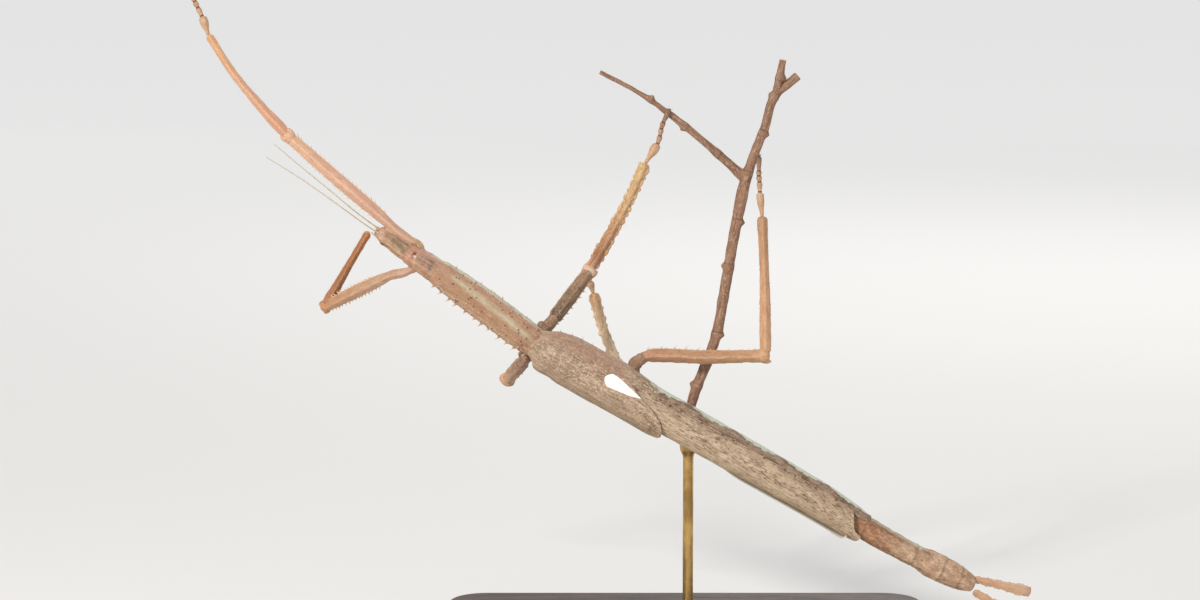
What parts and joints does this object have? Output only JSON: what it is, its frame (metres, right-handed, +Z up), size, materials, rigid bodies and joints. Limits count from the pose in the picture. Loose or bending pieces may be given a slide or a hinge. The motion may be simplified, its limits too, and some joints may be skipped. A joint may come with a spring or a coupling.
{
  "type": "stick insect model",
  "caption": "Life-size winged stick insect hanging by its right legs from a forked twig, held on a flat display base by a short rod.",
  "frame": {"origin": "centre of the underside of the stand's base, straight under the rod", "axes": "+Z up, +X towards the insect's tail end, -Y the side its back is turned to"},
  "size_m": [0.2557, 0.1133, 0.2076],
  "materials": {
    "body": "matt mottled pinkish-brown cuticle",
    "wing": "matt bark-like grey-brown wing cuticle with fine veins",
    "leg": "matt peach-brown cuticle",
    "eye": "glossy brown eye surface",
    "feeler": "pale matt threads",
    "cercus": "pale peach matt cuticle",
    "bark": "dry pinkish-brown bark",
    "base": "black stained wood, satin",
    "rod": "satin brass"
  },
  "bodies": {
    "root": {"head": "body", "eye_left": "eye", "eye_right": "eye", "antenna_right": "feeler", "antenna_left": "feeler", "palp_left": "body", "palp_right": "body", "prothorax": "body", "mesothorax": "body", "metathorax": "body", "abdomen_front": "body", "abdomen_middle": "body", "abdomen_rear": "body", "abdomen_tip": "body", "operculum": "body", "cercus_right": "cercus", "cercus_left": "cercus", "tegmen_left": "wing", "tegmen_right": "wing", "hind_wing_left": "wing", "hind_wing_right": "wing", "wing_fan_left": "wing", "wing_fan_right": "wing", "fore_right_coxa": "body", "fore_right_femur": "leg", "fore_right_tibia": "leg", "fore_right_tarsus": "leg", "fore_left_coxa": "body", "fore_left_femur": "leg", "fore_left_tibia": "leg", "fore_left_tarsus": "leg", "middle_right_coxa": "body", "middle_right_femur": "leg", "middle_right_tibia": "leg", "middle_right_tarsus": "leg", "middle_left_coxa": "body", "middle_left_femur": "leg", "middle_left_tibia": "leg", "middle_left_tarsus": "leg", "hind_right_coxa": "body", "hind_right_femur": "leg", "hind_right_tibia": "leg", "hind_right_tarsus": "leg", "hind_left_coxa": "body", "hind_left_femur": "leg", "hind_left_tibia": "leg", "hind_left_tarsus": "leg", "perch_branch": "bark", "perch_twig": "bark", "stand_base": "base", "stand_rod": "rod"}
  },
  "joints": []
}
